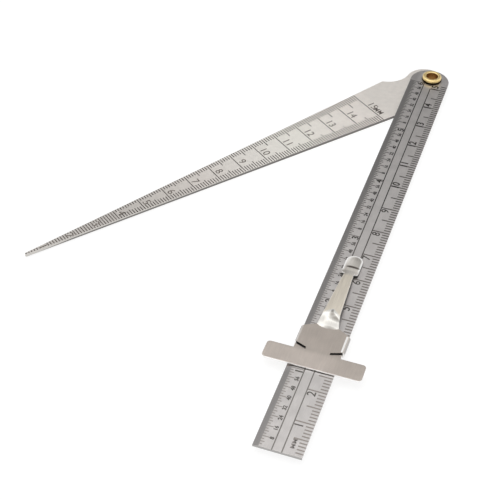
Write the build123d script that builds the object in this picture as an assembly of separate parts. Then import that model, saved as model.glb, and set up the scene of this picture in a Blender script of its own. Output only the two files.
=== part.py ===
from build123d import *
from math import acos, atan2, cos, radians, sin, sqrt, tan
import os

# Welding taper gauge: a graduated steel rule with a pocket clip slider, and a taper blade that swings on the
# brass eyelet in the rule's head. Lengths in millimetres, angles in degrees, +Z up, the rule's face at z = 0.
# The origin is on the eyelet's axis. +Y runs along the rule to its rounded head, +X towards the metric edge.

# Rule
RULE_WIDTH = 12.0
RULE_THICKNESS = 0.75
ZERO_TO_PIVOT = 155.1
PIVOT_TO_HEAD_END = 4.7
PIVOT_TO_METRIC_EDGE = 5.6
BEVEL_WIDTH = 1.45
BEVEL_DROP = 0.3
PIVOT_TO_BEVEL_END = 2.2

# Taper blade: its width in millimetres equals the number marked there
BLADE_THICKNESS = 0.9
RULE_TO_BLADE_GAP = 0.55
BLADE_ANGLE = 36.0
WIDEST_NUMBER = 15.0
PIVOT_TO_WIDEST_NUMBER = 24.85
LENGTH_PER_MM_OF_WIDTH = 8.15
TIP_NUMBER = 0.6
PIVOT_FROM_CENTRE_LINE = 0.95
HUB_RADIUS = 6.0
HUB_SIDE_OFFSET = 2.1
HUB_TIPWARD_OFFSET = 0.45
HUB_TO_WAIST_ANGLE = 27.0
WAIST_RADIUS = 7.6
PIVOT_TO_HEEL = 7.0
HEEL_RADIUS = 5.0

# Eyelet
BORE_RADIUS = 1.85
BARREL_WALL = 0.25
FLANGE_RADIUS = 2.95
FACE_FLANGE_HEIGHT = 1.4
ROLLED_RADIUS = 0.5
BACK_FLANGE_HEIGHT = 0.45
FLANGE_SEAT_WIDTH = 0.35
FLANGE_LIP_GAP = 0.6
BORE_MOUTH_RADIUS = 0.3
RULE_HOLE_CLEARANCE = 0.01
BLADE_HOLE_CLEARANCE = 0.05

# Slider: one stamped sheet with a crossbar, folded sides and a formed pocket clip
SHEET = 0.4
SLIDE_CLEARANCE = 0.04
SHEET_TO_FACE = 0.25
ZERO_TO_CROSSBAR = 25.9
CROSSBAR_LENGTH = 25.4
CROSSBAR_WIDTH = 5.4
CROSSBAR_CORNER = 0.9
WEB_LENGTH = 2.2
FOLD_LENGTH = 5.5
LIP_LENGTH = 1.8
BEND_RADIUS = 0.3
SLIT_WIDTH = 0.5
SLIT_DEPTH = 2.8
SLIT_ANGLE = 20.0
CROSSBAR_TO_SLIT = 0.65
SHOULDER_RISE = 1.75
SHOULDER_BULGE = 0.15
NECK_HALF_WIDTH = 2.9
NECK_DIP = 0.8
NECK_HOLLOW = 0.12
NECK_LENGTH = 4.65
NECK_BEND_LENGTH = 1.6
NECK_CROWN = 0.6
ARM_LENGTH = 15.6
ARM_HALF_WIDTH = 2.15
ARM_END_HALF_WIDTH = 1.25
ARM_HEIGHT = 2.0
ARM_DROP = 1.2
ARM_CROWN = 0.9
ARM_END_CROWN = 0.9
LEAST_CROWN = 0.01
NECK_ANGLE = 28.0
ARM_START_ANGLE = 3.0
ARM_ANGLE = 6.5
PAD_LENGTH = 7.5
PAD_HALF_WIDTH = 2.25
PAD_SHOULDER_RADIUS = 1.0
PAD_HEIGHT = 0.5
PAD_CROWN = 0.5
PAD_ANGLE = 3.0
PAD_TIP_HEIGHT = -0.05
PAD_TIP_ANGLE = 24.0
CREASE_TO_PAD_TIP = 4.7
CREASE_SIDE_OFFSET = 0.3
CREASE_LENGTH = 3.2
CREASE_WIDTH = 0.4
CREASE_DEPTH = 0.2
CLIP_PIECES = 28

RULE_FRAME = Location((PIVOT_TO_METRIC_EDGE - RULE_WIDTH / 2, -ZERO_TO_PIVOT, 0))
HALF_RULE = RULE_WIDTH / 2
BARREL_RADIUS = BORE_RADIUS + BARREL_WALL
BLADE_TOP = -RULE_THICKNESS - RULE_TO_BLADE_GAP
BLADE_UNDERSIDE = BLADE_TOP - BLADE_THICKNESS
UP = (0, 0, 1)
DOWN = (0, 0, -1)
ALONG = (0, 1, 0)


def pivot_hole(radius, top, thickness):
    """A cutter for a round hole on the eyelet's axis, through a leaf of the given thickness."""
    return Pos(0, 0, top - thickness / 2) * Cylinder(radius, 3 * thickness)


def make_rule():
    """Flat strip with a semicircular head. Its inch edge has a bevel that stops short of the head."""
    head_end = ZERO_TO_PIVOT + PIVOT_TO_HEAD_END
    straight = head_end - HALF_RULE
    strip = Pos(0, straight / 2) * Rectangle(RULE_WIDTH, straight)
    blank = extrude(strip + Pos(0, straight) * Circle(HALF_RULE), RULE_THICKNESS, dir=DOWN)
    bevel_section = Plane.XZ * Polygon(
        (-HALF_RULE + BEVEL_WIDTH, 0),
        (-2 * HALF_RULE + BEVEL_WIDTH, -BEVEL_DROP * HALF_RULE / BEVEL_WIDTH),
        (-2 * HALF_RULE + BEVEL_WIDTH, 0),
        align=None,
    )
    blank -= extrude(bevel_section, ZERO_TO_PIVOT - PIVOT_TO_BEVEL_END, dir=ALONG)
    return RULE_FRAME * blank - pivot_hole(BARREL_RADIUS + RULE_HOLE_CLEARANCE, 0, RULE_THICKNESS)


def make_taper_blade():
    """Drawn with its length along -Y, then swung. The hub's arc runs into the waist and into the heel."""
    taper = 0.5 / LENGTH_PER_MM_OF_WIDTH
    half_width_at_pivot = WIDEST_NUMBER / 2 + PIVOT_TO_WIDEST_NUMBER * taper
    lower = half_width_at_pivot - PIVOT_FROM_CENTRE_LINE
    upper = -half_width_at_pivot - PIVOT_FROM_CENTRE_LINE
    hub = Vector(-HUB_SIDE_OFFSET, -HUB_TIPWARD_OFFSET)
    to_waist = radians(180 + HUB_TO_WAIST_ANGLE)
    toward_waist = Vector(cos(to_waist), sin(to_waist))
    waist = hub + toward_waist * (HUB_RADIUS + WAIST_RADIUS)
    hub_end = hub + toward_waist * HUB_RADIUS

    # The shoulder is where the waist's circle crosses the upper edge, x = upper + taper * distance
    offset = upper - waist.X
    a = 1 + taper**2
    b = 2 * (offset * taper + waist.Y)
    c = offset**2 + waist.Y**2 - WAIST_RADIUS**2
    shoulder = (-b + sqrt(b**2 - 4 * a * c)) / (2 * a)
    shoulder_point = (upper + taper * shoulder, -shoulder)
    shoulder_angle = atan2(-shoulder - waist.Y, shoulder_point[0] - waist.X)
    mid_angle = (radians(HUB_TO_WAIST_ANGLE) + shoulder_angle) / 2
    waist_mid = waist + Vector(cos(mid_angle), sin(mid_angle)) * WAIST_RADIUS

    # A straight end runs from the heel on the lower edge to where it touches the hub's circle
    heel = Vector(lower - taper * PIVOT_TO_HEEL, -PIVOT_TO_HEEL)
    to_heel = heel - hub
    touch_angle = atan2(to_heel.Y, to_heel.X) + acos(HUB_RADIUS / to_heel.length)
    hub_start = hub + Vector(cos(touch_angle), sin(touch_angle)) * HUB_RADIUS
    hub_angle = (touch_angle + to_waist) / 2
    hub_mid = hub + Vector(cos(hub_angle), sin(hub_angle)) * HUB_RADIUS

    tip = PIVOT_TO_WIDEST_NUMBER + (WIDEST_NUMBER - TIP_NUMBER) * LENGTH_PER_MM_OF_WIDTH
    tip_upper = (upper + taper * tip, -tip)
    tip_lower = (lower - taper * tip, -tip)
    tip_end = (-PIVOT_FROM_CENTRE_LINE, -tip - TIP_NUMBER / 2)
    outline = make_face(
        ThreePointArc(hub_start, hub_mid, hub_end)
        + ThreePointArc(hub_end, waist_mid, shoulder_point)
        + Line(shoulder_point, tip_upper)
        + ThreePointArc(tip_upper, tip_end, tip_lower)
        + Line(tip_lower, heel)
        + Line(heel, hub_start)
    )
    outline = fillet(outline.vertices().sort_by_distance(heel)[0], HEEL_RADIUS)
    leaf = Pos(0, 0, BLADE_TOP) * extrude(outline, BLADE_THICKNESS, dir=DOWN)
    leaf -= pivot_hole(BARREL_RADIUS + BLADE_HOLE_CLEARANCE, BLADE_TOP, BLADE_THICKNESS)
    return Rot(0, 0, -BLADE_ANGLE) * leaf


def make_pivot_eyelet():
    """Hollow rivet: a rolled flange on the rule's face, the barrel, and a flatter flange under the blade."""
    top = FACE_FLANGE_HEIGHT
    bottom = BLADE_UNDERSIDE - BACK_FLANGE_HEIGHT
    seat = BARREL_RADIUS + FLANGE_SEAT_WIDTH
    face_flange = make_face(
        Polyline(
            (BORE_RADIUS, 0),
            (BORE_RADIUS, top),
            (FLANGE_RADIUS, top),
            (FLANGE_RADIUS, FLANGE_LIP_GAP),
            (seat, 0),
            close=True,
        )
    )
    face_flange = fillet(face_flange.vertices().group_by(Axis.Y)[-1].sort_by(Axis.X)[-1], ROLLED_RADIUS)
    face_flange = fillet(face_flange.vertices().group_by(Axis.Y)[-1].sort_by(Axis.X)[0], BORE_MOUTH_RADIUS)

    back_height = BACK_FLANGE_HEIGHT
    back_flange = Pos((BORE_RADIUS + FLANGE_RADIUS) / 2, BLADE_UNDERSIDE - back_height / 2) * Rectangle(
        FLANGE_RADIUS - BORE_RADIUS, back_height
    )
    back_flange = fillet(back_flange.vertices().group_by(Axis.Y)[0].sort_by(Axis.X)[0], BORE_MOUTH_RADIUS)
    back_flange = chamfer(back_flange.vertices().group_by(Axis.Y)[0].sort_by(Axis.X)[-1], back_height / 2)
    barrel_middle = ((BORE_RADIUS + BARREL_RADIUS) / 2, BLADE_UNDERSIDE / 2)
    barrel = Pos(*barrel_middle) * Rectangle(BARREL_WALL, -BLADE_UNDERSIDE)
    section = face_flange + barrel + back_flange
    return revolve(Plane.XZ * section, Axis.Z)


def clip_section(distance, stations):
    """Cross-section of the formed sheet at a distance from the zero end, crowned across and SHEET thick."""
    for before, after in zip(stations, stations[1:]):
        if distance <= after[0]:
            break
    span = after[0] - before[0]
    t = (distance - before[0]) / span
    ease = t * t * (3 - 2 * t)
    leave = t * (1 - t) ** 2 * span
    arrive = t * t * (t - 1) * span
    top = before[1] + (after[1] - before[1]) * ease + before[2] * leave + after[2] * arrive
    steepness = (after[1] - before[1]) * 6 * t * (1 - t) / span
    steepness += before[2] * (1 - t) * (1 - 3 * t) + after[2] * t * (3 * t - 2)
    crown = before[3] + (after[3] - before[3]) * t
    depth = SHEET * sqrt(1 + steepness**2)
    crown = max(min(crown, top - depth - SLIDE_CLEARANCE), LEAST_CROWN)
    side = NECK_HALF_WIDTH + BEND_RADIUS
    plane = Plane(origin=(0, distance, top), x_dir=(1, 0, 0), z_dir=(0, -1, 0))
    return plane * make_face(
        ThreePointArc((-side, -crown), (0, 0), (side, -crown))
        + Line((side, -crown), (side, -crown - depth))
        + ThreePointArc((side, -crown - depth), (0, -depth), (-side, -crown - depth))
        + Line((-side, -crown - depth), (-side, -crown))
    )


def formed_sheet(stations, pieces):
    """Sheet formed through stations of distance, height, slope and crown."""
    first, last = stations[0][0], stations[-1][0]
    step = (last - first) / pieces
    return loft([clip_section(first + step * n, stations) for n in range(pieces + 1)])


def make_depth_slider():
    """One sheet: crossbar, slit web, sides folded round the rule, and a clip that rises from the neck."""
    plate_top = SHEET_TO_FACE + SHEET
    fold_start = ZERO_TO_CROSSBAR + CROSSBAR_WIDTH + WEB_LENGTH
    fold_end = fold_start + FOLD_LENGTH
    inner = HALF_RULE + SLIDE_CLEARANCE
    outer = inner + SHEET

    bar_middle = ZERO_TO_CROSSBAR + CROSSBAR_WIDTH / 2
    crossbar = Pos(0, bar_middle) * RectangleRounded(CROSSBAR_LENGTH, CROSSBAR_WIDTH, CROSSBAR_CORNER)
    web = Pos(0, (bar_middle + fold_start) / 2) * Rectangle(2 * inner, fold_start - bar_middle)
    slit_start = (inner - SLIT_DEPTH, ZERO_TO_CROSSBAR + CROSSBAR_WIDTH + CROSSBAR_TO_SLIT)
    slit = Pos(SLIT_DEPTH, 0) * SlotOverall(2 * SLIT_DEPTH, SLIT_WIDTH)
    slit = Pos(*slit_start) * Rot(0, 0, SLIT_ANGLE) * slit
    web = web - slit - mirror(slit, Plane.YZ)

    # Past the folds the plate narrows to the neck, which starts to rise a little before the plate ends
    shoulder_end = fold_end + SHOULDER_RISE
    neck_start = shoulder_end - NECK_DIP
    corner = outer - BEND_RADIUS
    bulge_x = (corner + NECK_HALF_WIDTH) / 2
    bulge_y = (fold_end + shoulder_end) / 2 + SHOULDER_BULGE
    shoulders = make_face(
        Line((-corner, fold_end), (corner, fold_end))
        + ThreePointArc((corner, fold_end), (bulge_x, bulge_y), (NECK_HALF_WIDTH, shoulder_end))
        + Line((NECK_HALF_WIDTH, shoulder_end), (-NECK_HALF_WIDTH, shoulder_end))
        + ThreePointArc((-NECK_HALF_WIDTH, shoulder_end), (-bulge_x, bulge_y), (-corner, fold_end))
    )
    flat = Pos(0, 0, SHEET_TO_FACE) * extrude(crossbar + web + shoulders, SHEET, dir=UP)

    # The sides fold down the rule's edges and under its back
    fold_bottom = -RULE_THICKNESS - SLIDE_CLEARANCE - SHEET
    fold_height = plate_top - fold_bottom
    shell = RectangleRounded(2 * outer, fold_height, BEND_RADIUS + SHEET)
    hollow = Rectangle(2 * inner, fold_height - 2 * SHEET)
    mouth = Pos(0, -fold_height / 2) * Rectangle(2 * (outer - LIP_LENGTH), fold_height)
    middle = (plate_top + fold_bottom) / 2
    fold_plane = Plane(origin=(0, fold_start, middle), x_dir=(1, 0, 0), z_dir=(0, -1, 0))
    folds = extrude(fold_plane * (shell - hollow - mouth), FOLD_LENGTH, dir=ALONG)

    # The crowned neck rises to a bend, and the arm falls to the pad, whose tip turns down to the rule.
    # A station is a distance, and the sheet's height, slope and crown there
    neck_top = neck_start + NECK_LENGTH
    neck_bend = neck_top - NECK_BEND_LENGTH
    neck_slope = tan(radians(NECK_ANGLE))
    pad_start = neck_top + ARM_LENGTH
    pad_tip = pad_start + PAD_LENGTH
    crease = pad_tip - CREASE_TO_PAD_TIP
    arm_top = plate_top + ARM_HEIGHT
    pad_top = plate_top + PAD_HEIGHT
    sheet = formed_sheet(
        [
            (neck_start, plate_top, neck_slope, NECK_CROWN),
            (neck_bend, plate_top + neck_slope * (neck_bend - neck_start), neck_slope, NECK_CROWN),
            (neck_top, arm_top, -tan(radians(ARM_START_ANGLE)), ARM_CROWN),
            (pad_start, arm_top - ARM_DROP, -tan(radians(ARM_ANGLE)), ARM_END_CROWN),
            (crease, pad_top, -tan(radians(PAD_ANGLE)), PAD_CROWN),
            (pad_tip + BEND_RADIUS, plate_top + PAD_TIP_HEIGHT, -tan(radians(PAD_TIP_ANGLE)), PAD_CROWN),
        ],
        CLIP_PIECES,
    )

    neck_x = (NECK_HALF_WIDTH + ARM_HALF_WIDTH) / 2 - NECK_HOLLOW
    neck_y = (shoulder_end + neck_top) / 2
    arm_end = pad_start + BEND_RADIUS
    right_side = (
        Line((NECK_HALF_WIDTH, neck_start), (NECK_HALF_WIDTH, shoulder_end))
        + ThreePointArc((NECK_HALF_WIDTH, shoulder_end), (neck_x, neck_y), (ARM_HALF_WIDTH, neck_top))
        + Line((ARM_HALF_WIDTH, neck_top), (ARM_END_HALF_WIDTH, arm_end))
    )
    arm_plan = make_face(
        Line((-NECK_HALF_WIDTH, neck_start), (NECK_HALF_WIDTH, neck_start))
        + right_side
        + Line((ARM_END_HALF_WIDTH, arm_end), (-ARM_END_HALF_WIDTH, arm_end))
        + mirror(right_side, Plane.YZ)
    )
    pad_side = pad_tip - PAD_HALF_WIDTH
    pad_plan = Pos(0, (pad_start + pad_side) / 2) * Rectangle(2 * PAD_HALF_WIDTH, pad_side - pad_start)
    pad_plan = fillet(pad_plan.vertices().group_by(Axis.Y)[0], PAD_SHOULDER_RADIUS)
    pad_plan += Pos(0, pad_side) * Circle(PAD_HALF_WIDTH)
    height = 2 * arm_top
    arm_prism = Pos(0, 0, SHEET_TO_FACE) * extrude(arm_plan, height, dir=UP)
    pad_prism = Pos(0, 0, SLIDE_CLEARANCE) * extrude(pad_plan, height, dir=UP)
    groove = SlotOverall(CREASE_LENGTH, CREASE_WIDTH)
    groove = Pos(CREASE_SIDE_OFFSET, crease, pad_top - CREASE_DEPTH) * extrude(groove, SHEET, dir=UP)
    clip = (sheet & arm_prism) + (sheet & pad_prism) - groove
    return RULE_FRAME * (flat + folds + clip)


PARTS = {
    "rule": make_rule,
    "taper_blade": make_taper_blade,
    "pivot_eyelet": make_pivot_eyelet,
    "depth_slider": make_depth_slider,
}

os.makedirs("parts", exist_ok=True)
for name, make in PARTS.items():
    export_step(make(), f"parts/{name}.step")
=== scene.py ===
import math
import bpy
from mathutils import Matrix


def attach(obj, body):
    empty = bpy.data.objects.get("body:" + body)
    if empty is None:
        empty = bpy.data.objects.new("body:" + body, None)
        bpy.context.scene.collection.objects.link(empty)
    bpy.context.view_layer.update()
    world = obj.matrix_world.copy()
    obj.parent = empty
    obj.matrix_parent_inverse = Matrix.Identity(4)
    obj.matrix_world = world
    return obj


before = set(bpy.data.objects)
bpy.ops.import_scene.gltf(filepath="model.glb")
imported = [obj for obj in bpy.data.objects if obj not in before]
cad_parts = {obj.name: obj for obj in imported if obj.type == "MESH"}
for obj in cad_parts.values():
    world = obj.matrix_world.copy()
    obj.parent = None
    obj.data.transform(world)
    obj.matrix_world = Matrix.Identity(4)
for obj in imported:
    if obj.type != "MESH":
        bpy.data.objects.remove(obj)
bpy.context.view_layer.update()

from types import SimpleNamespace

import bmesh
import bpy
from mathutils import Matrix, Vector

mm = 0.001

# The rule: a stiff strip of stainless steel with a hole at its head end, ground along its length
# so that the face has a fine lengthwise grain. Its inch edge is ground down to a shallow bevel;
# its sides are polished brighter than the face, and its ends are duller.

RULE_FACE = (0.66, 0.63, 0.615)
RULE_BEVEL = (0.33, 0.315, 0.31)
RULE_EDGE = (0.80, 0.79, 0.78)
RULE_END = (0.40, 0.39, 0.38)
END_FACING_START = -0.5
END_FACING_FULL = -0.8
BEVEL_OUTER = -5.6 * mm
BEVEL_INNER = -4.9 * mm
BEVEL_LIGHT = (0.36, 0.345, 0.335)
BEVEL_FACING = -0.2
BEVEL_FACING_RANGE = 0.1
SHOULDER_END = -3.9 * mm
SHOULDER_SHADE = 0.84
FLANGE_SHADOW = (0.10, 0.075, 0.05)
FLANGE_SHADOW_START = 3.3 * mm
FLANGE_SHADOW_FULL = 2.9 * mm
GRAIN_ACROSS = 0.09 * mm
GRAIN_ALONG = 2.6 * mm
CLOUD_SIZE = 3.2 * mm
NOISE_LOW = 0.3
NOISE_HIGH = 0.7
GRAIN_DETAIL = 3.0
CLOUD_DETAIL = 2.0
GRAIN_BUMP = 0.25
ROUNDING_SAMPLES = 6
EDGE_TURN = 0.5
FACE_TURN = 0.97
ROUGHNESS_RANGE = 0.05


def new_object(name, data):
    """An object at the origin, linked to the scene."""
    thing = bpy.data.objects.new(name, data)
    bpy.context.scene.collection.objects.link(thing)
    return thing


def adder(tree):
    """A function that adds one node to a node tree."""

    def add(kind, **settings):
        node = tree.nodes.new(kind)
        for key, value in settings.items():
            setattr(node, key, value)
        return node

    return add


def plug(source, target):
    """Feeds a socket from another socket, or sets it to a plain value."""
    if isinstance(source, bpy.types.NodeSocket):
        target.id_data.links.new(source, target)
    else:
        target.default_value = source


def new_finish(name):
    """An empty node material with its shader, and a function that adds one node to it."""
    finish = bpy.data.materials.new(name)
    finish.use_nodes = True
    finish.node_tree.nodes.clear()
    add = adder(finish.node_tree)
    shader = add("ShaderNodeBsdfPrincipled")
    plug(shader.outputs["BSDF"], add("ShaderNodeOutputMaterial").inputs["Surface"])
    return finish, shader, add


def arithmetic(add, operation, *values):
    """One arithmetic step on sockets and plain numbers."""
    node = add("ShaderNodeMath", operation=operation)
    for slot, value in enumerate(values):
        plug(value, node.inputs[slot])
    return node.outputs[0]


def position(add):
    """The piece's own X, Y and Z at each point of its surface."""
    parts = add("ShaderNodeSeparateXYZ")
    plug(add("ShaderNodeTexCoord").outputs["Object"], parts.inputs["Vector"])
    return parts.outputs


def facing(add, axis):
    """How far a surface faces along X, Y or Z, from -1 to 1."""
    parts = add("ShaderNodeSeparateXYZ")
    plug(add("ShaderNodeNewGeometry").outputs["Normal"], parts.inputs["Vector"])
    return parts.outputs[axis]


def from_axis(add, spot):
    """Distance from the rivet's axis."""
    squared = arithmetic(add, "MULTIPLY", spot["X"], spot["X"])
    squared = arithmetic(add, "MULTIPLY_ADD", spot["Y"], spot["Y"], squared)
    return arithmetic(add, "SQRT", squared)


def noise(add, sizes, detail=GRAIN_DETAIL):
    """Noise in the piece's own coordinates, with specks of a given size along each axis."""
    mapping = add("ShaderNodeMapping")
    plug([1 / size for size in sizes], mapping.inputs["Scale"])
    plug(add("ShaderNodeTexCoord").outputs["Object"], mapping.inputs["Vector"])
    texture = add("ShaderNodeTexNoise")
    plug(1.0, texture.inputs["Scale"])
    plug(detail, texture.inputs["Detail"])
    plug(mapping.outputs["Vector"], texture.inputs["Vector"])
    return texture.outputs["Fac"]


def spread(add, source, low, high, start=NOISE_LOW, end=NOISE_HIGH):
    """A number that goes from low to high while the source goes from start to end."""
    scale = add("ShaderNodeMapRange")
    plug(start, scale.inputs["From Min"])
    plug(end, scale.inputs["From Max"])
    plug(low, scale.inputs["To Min"])
    plug(high, scale.inputs["To Max"])
    plug(source, scale.inputs["Value"])
    return scale.outputs["Result"]


def tint(add, factor, first, second):
    """One colour where the factor is 0 and another where it is 1; each is a colour or a socket."""
    mix = add("ShaderNodeMix", data_type="RGBA")
    plug(factor, mix.inputs["Factor"])
    for slot, colour in (("A", first), ("B", second)):
        plug((*colour, 1) if isinstance(colour, tuple) else colour, mix.inputs[slot])
    return mix.outputs["Result"]


def scaled(add, colour, factor):
    """A colour made lighter or darker by a factor."""
    product = add("ShaderNodeVectorMath", operation="SCALE")
    plug(colour, product.inputs[0])
    plug(factor, product.inputs["Scale"])
    return product.outputs[0]


def tones(add, source, length, stops):
    """A colour read from stops of (distance, colour), over one length."""
    ramp = add("ShaderNodeValToRGB")
    elements = ramp.color_ramp.elements
    elements.remove(elements[-1])
    for number, (distance, colour) in enumerate(stops):
        stop = elements[0] if number == 0 else elements.new(distance / length)
        stop.position = distance / length
        stop.color = (*colour, 1)
    plug(arithmetic(add, "DIVIDE", source, length), ramp.inputs[0])
    return ramp.outputs["Color"]


def ground_steel(name, face, edge, roughness, grain, cloud, edge_roughness, depth, rounding, mottle):
    """Steel with a grain and clouded tone on its faces, and a second tone on its rounded edges.
    Face and edge are each a colour, or a function that makes one."""
    steel, shader, add = new_finish(name)
    fine = noise(add, grain)
    clouds = noise(add, (cloud,) * 3, CLOUD_DETAIL)
    rounded = add("ShaderNodeBevel", samples=ROUNDING_SAMPLES)
    plug(rounding, rounded.inputs["Radius"])
    turned = add("ShaderNodeSeparateXYZ")
    plug(rounded.outputs["Normal"], turned.inputs["Vector"])
    level = arithmetic(add, "ABSOLUTE", turned.outputs["Z"])
    is_edge = spread(add, level, 1.0, 0.0, EDGE_TURN, FACE_TURN)
    if callable(face):
        tone = face(add)
    else:
        tone = add("ShaderNodeRGB").outputs[0]
        tone.default_value = (*face, 1)
    for marking in (clouds, fine):
        tone = scaled(add, tone, spread(add, marking, 1 - mottle, 1 + mottle))
    tone = tint(add, is_edge, tone, edge(add) if callable(edge) else edge)
    plug(tone, shader.inputs["Base Color"])
    plug(1.0, shader.inputs["Metallic"])
    rough = add("ShaderNodeMix", data_type="FLOAT")
    plug(is_edge, rough.inputs["Factor"])
    face_roughness = spread(add, fine, roughness - ROUGHNESS_RANGE, roughness + ROUGHNESS_RANGE)
    plug(face_roughness, rough.inputs["A"])
    plug(edge_roughness, rough.inputs["B"])
    plug(rough.outputs["Result"], shader.inputs["Roughness"])
    bump = add("ShaderNodeBump")
    plug(GRAIN_BUMP, bump.inputs["Strength"])
    plug(depth, bump.inputs["Distance"])
    plug(fine, bump.inputs["Height"])
    plug(rounded.outputs["Normal"], bump.inputs["Normal"])
    plug(bump.outputs["Normal"], shader.inputs["Normal"])
    return SimpleNamespace(finish=steel, shader=shader, add=add, grain=fine, tone=tone, is_edge=is_edge)


rule_steel = ground_steel(
    "rule ground steel",
    RULE_FACE,
    RULE_EDGE,
    roughness=0.36,
    grain=(GRAIN_ACROSS, GRAIN_ALONG, GRAIN_ALONG),
    cloud=CLOUD_SIZE,
    edge_roughness=0.25,
    depth=0.01 * mm,
    rounding=0.06 * mm,
    mottle=0.06,
)
rule_add = rule_steel.add
rule_spot = position(rule_add)
# Painted shade: the bevel is darker than the face and lightens toward its inner edge, and the flat face
# darkens a little toward the bevel
across_bevel = spread(rule_add, rule_spot["X"], 0.0, 1.0, BEVEL_OUTER, BEVEL_INNER)
bevel_tone = tint(rule_add, across_bevel, RULE_BEVEL, BEVEL_LIGHT)
shoulder = spread(rule_add, rule_spot["X"], SHOULDER_SHADE, 1.0, BEVEL_INNER, SHOULDER_END)
shaded_face = scaled(rule_add, rule_steel.tone, shoulder)
on_bevel = arithmetic(rule_add, "COMPARE", facing(rule_add, "X"), BEVEL_FACING, BEVEL_FACING_RANGE)
rule_tone = tint(rule_add, on_bevel, shaded_face, bevel_tone)
on_end = spread(rule_add, facing(rule_add, "Y"), 0.0, 1.0, END_FACING_START, END_FACING_FULL)
rule_tone = tint(rule_add, on_end, rule_tone, RULE_END)
# Painted shadow: the face darkens in a ring round the rivet, under the eyelet's flange
flange_shadow = spread(rule_add, from_axis(rule_add, rule_spot), 0.0, 1.0, FLANGE_SHADOW_START, FLANGE_SHADOW_FULL)
rule_tone = tint(rule_add, flange_shadow, rule_tone, FLANGE_SHADOW)
plug(rule_tone, rule_steel.shader.inputs["Base Color"])


def wear(node, finish):
    """Gives one of the gauge's four parts its finish."""
    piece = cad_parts[node]
    for slot in piece.material_slots:
        slot.material = finish


wear("rule", rule_steel.finish)

# The rule's lines: two long lines that part the inch scale from the millimetre scale, and the
# fine cross-lines of both, etched into the face and filled with black. All of them are thin
# bars that stand a hundredth of a millimetre proud of the steel, sunk a little into it.

METRIC_EDGE = 5.6 * mm
ZERO_END = -155.1 * mm
ETCH_PROUD = 0.012 * mm
ETCH_SUNK = 0.03 * mm
METRIC_LENGTH = 150
MARKS_PAST_END = 2
METRIC_EDGE_GAP = 0.02 * mm
METRIC_LINE = 0.38 * mm
METRIC_SHORT = 1.9 * mm
METRIC_MIDDLE = 3.55 * mm
METRIC_LONG = 4.85 * mm
METRIC_LONG_SHORTENED = 2.5 * mm
METRIC_ROWS = (
    (1, 99, METRIC_LONG),
    (100, METRIC_LENGTH + MARKS_PAST_END, METRIC_LONG_SHORTENED),
)
INCH = 25.4 * mm
INCHES = 6
INCH_MARKS = 32
INCH_START = -10.55 * mm
INCH_LINE = 0.24 * mm
THIRTY_SECOND = 0.65 * mm
SIXTEENTH = 1.0 * mm
EIGHTH = 1.7 * mm
WHOLE_INCH = 3.2 * mm
INNER_LINE = -4.90 * mm
OUTER_LINE = -7.32 * mm
LONG_LINE = 0.29 * mm
LINE_WORN = (0.22, 0.205, 0.19)
LINE_BLACK = (0.010, 0.008, 0.007)
MARK_WORN = (0.34, 0.305, 0.28)
MARK_GREY = (0.060, 0.055, 0.050)
PATCH_GREY = (0.22, 0.20, 0.18)
PATCH_SIZE = 0.5 * mm
PATCH_SHARE = 0.25
PATCH_START = 0.4
PATCH_FULL = 0.7
FILLING_SMOOTH = 0.5
FILLING_ROUGH = 0.75
FILLING_SHINE = 0.25
WORN_END = -140 * mm
BLACK_END = -60 * mm


def new_etching(name, colour, worn=None):
    """Filling in an etched line: dull, slightly broken, and worn paler toward the zero end."""
    filling, shader, add = new_finish(name)
    patches = noise(add, (PATCH_SIZE,) * 3)
    shade = colour
    if worn:
        kept = spread(add, position(add)["Y"], 0.0, 1.0, WORN_END, BLACK_END)
        shade = tint(add, kept, worn, colour)
    broken = spread(add, patches, 0.0, PATCH_SHARE, PATCH_START, PATCH_FULL)
    plug(tint(add, broken, shade, PATCH_GREY), shader.inputs["Base Color"])
    plug(spread(add, patches, FILLING_SMOOTH, FILLING_ROUGH), shader.inputs["Roughness"])
    plug(FILLING_SHINE, shader.inputs["Specular IOR Level"])
    return filling


line_black = new_etching("line black", LINE_BLACK, LINE_WORN)
mark_grey = new_etching("mark grey", MARK_GREY, MARK_WORN)

MARK_SIZES = (
    ("Marks", "NodeSocketInt"),
    ("Count from", "NodeSocketInt"),
    ("First mark", "NodeSocketFloat"),
    ("Pitch", "NodeSocketFloat"),
    ("Line width", "NodeSocketFloat"),
    ("Outer end", "NodeSocketFloat"),
    ("Outer step", "NodeSocketFloat"),
    ("Short end", "NodeSocketFloat"),
    ("Short step", "NodeSocketFloat"),
    ("Middle every", "NodeSocketInt"),
    ("Middle end", "NodeSocketFloat"),
    ("Middle step", "NodeSocketFloat"),
    ("Long every", "NodeSocketInt"),
    ("Long end", "NodeSocketFloat"),
    ("Long step", "NodeSocketFloat"),
    ("Whole every", "NodeSocketInt"),
    ("Whole end", "NodeSocketFloat"),
    ("Whole step", "NodeSocketFloat"),
)


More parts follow.
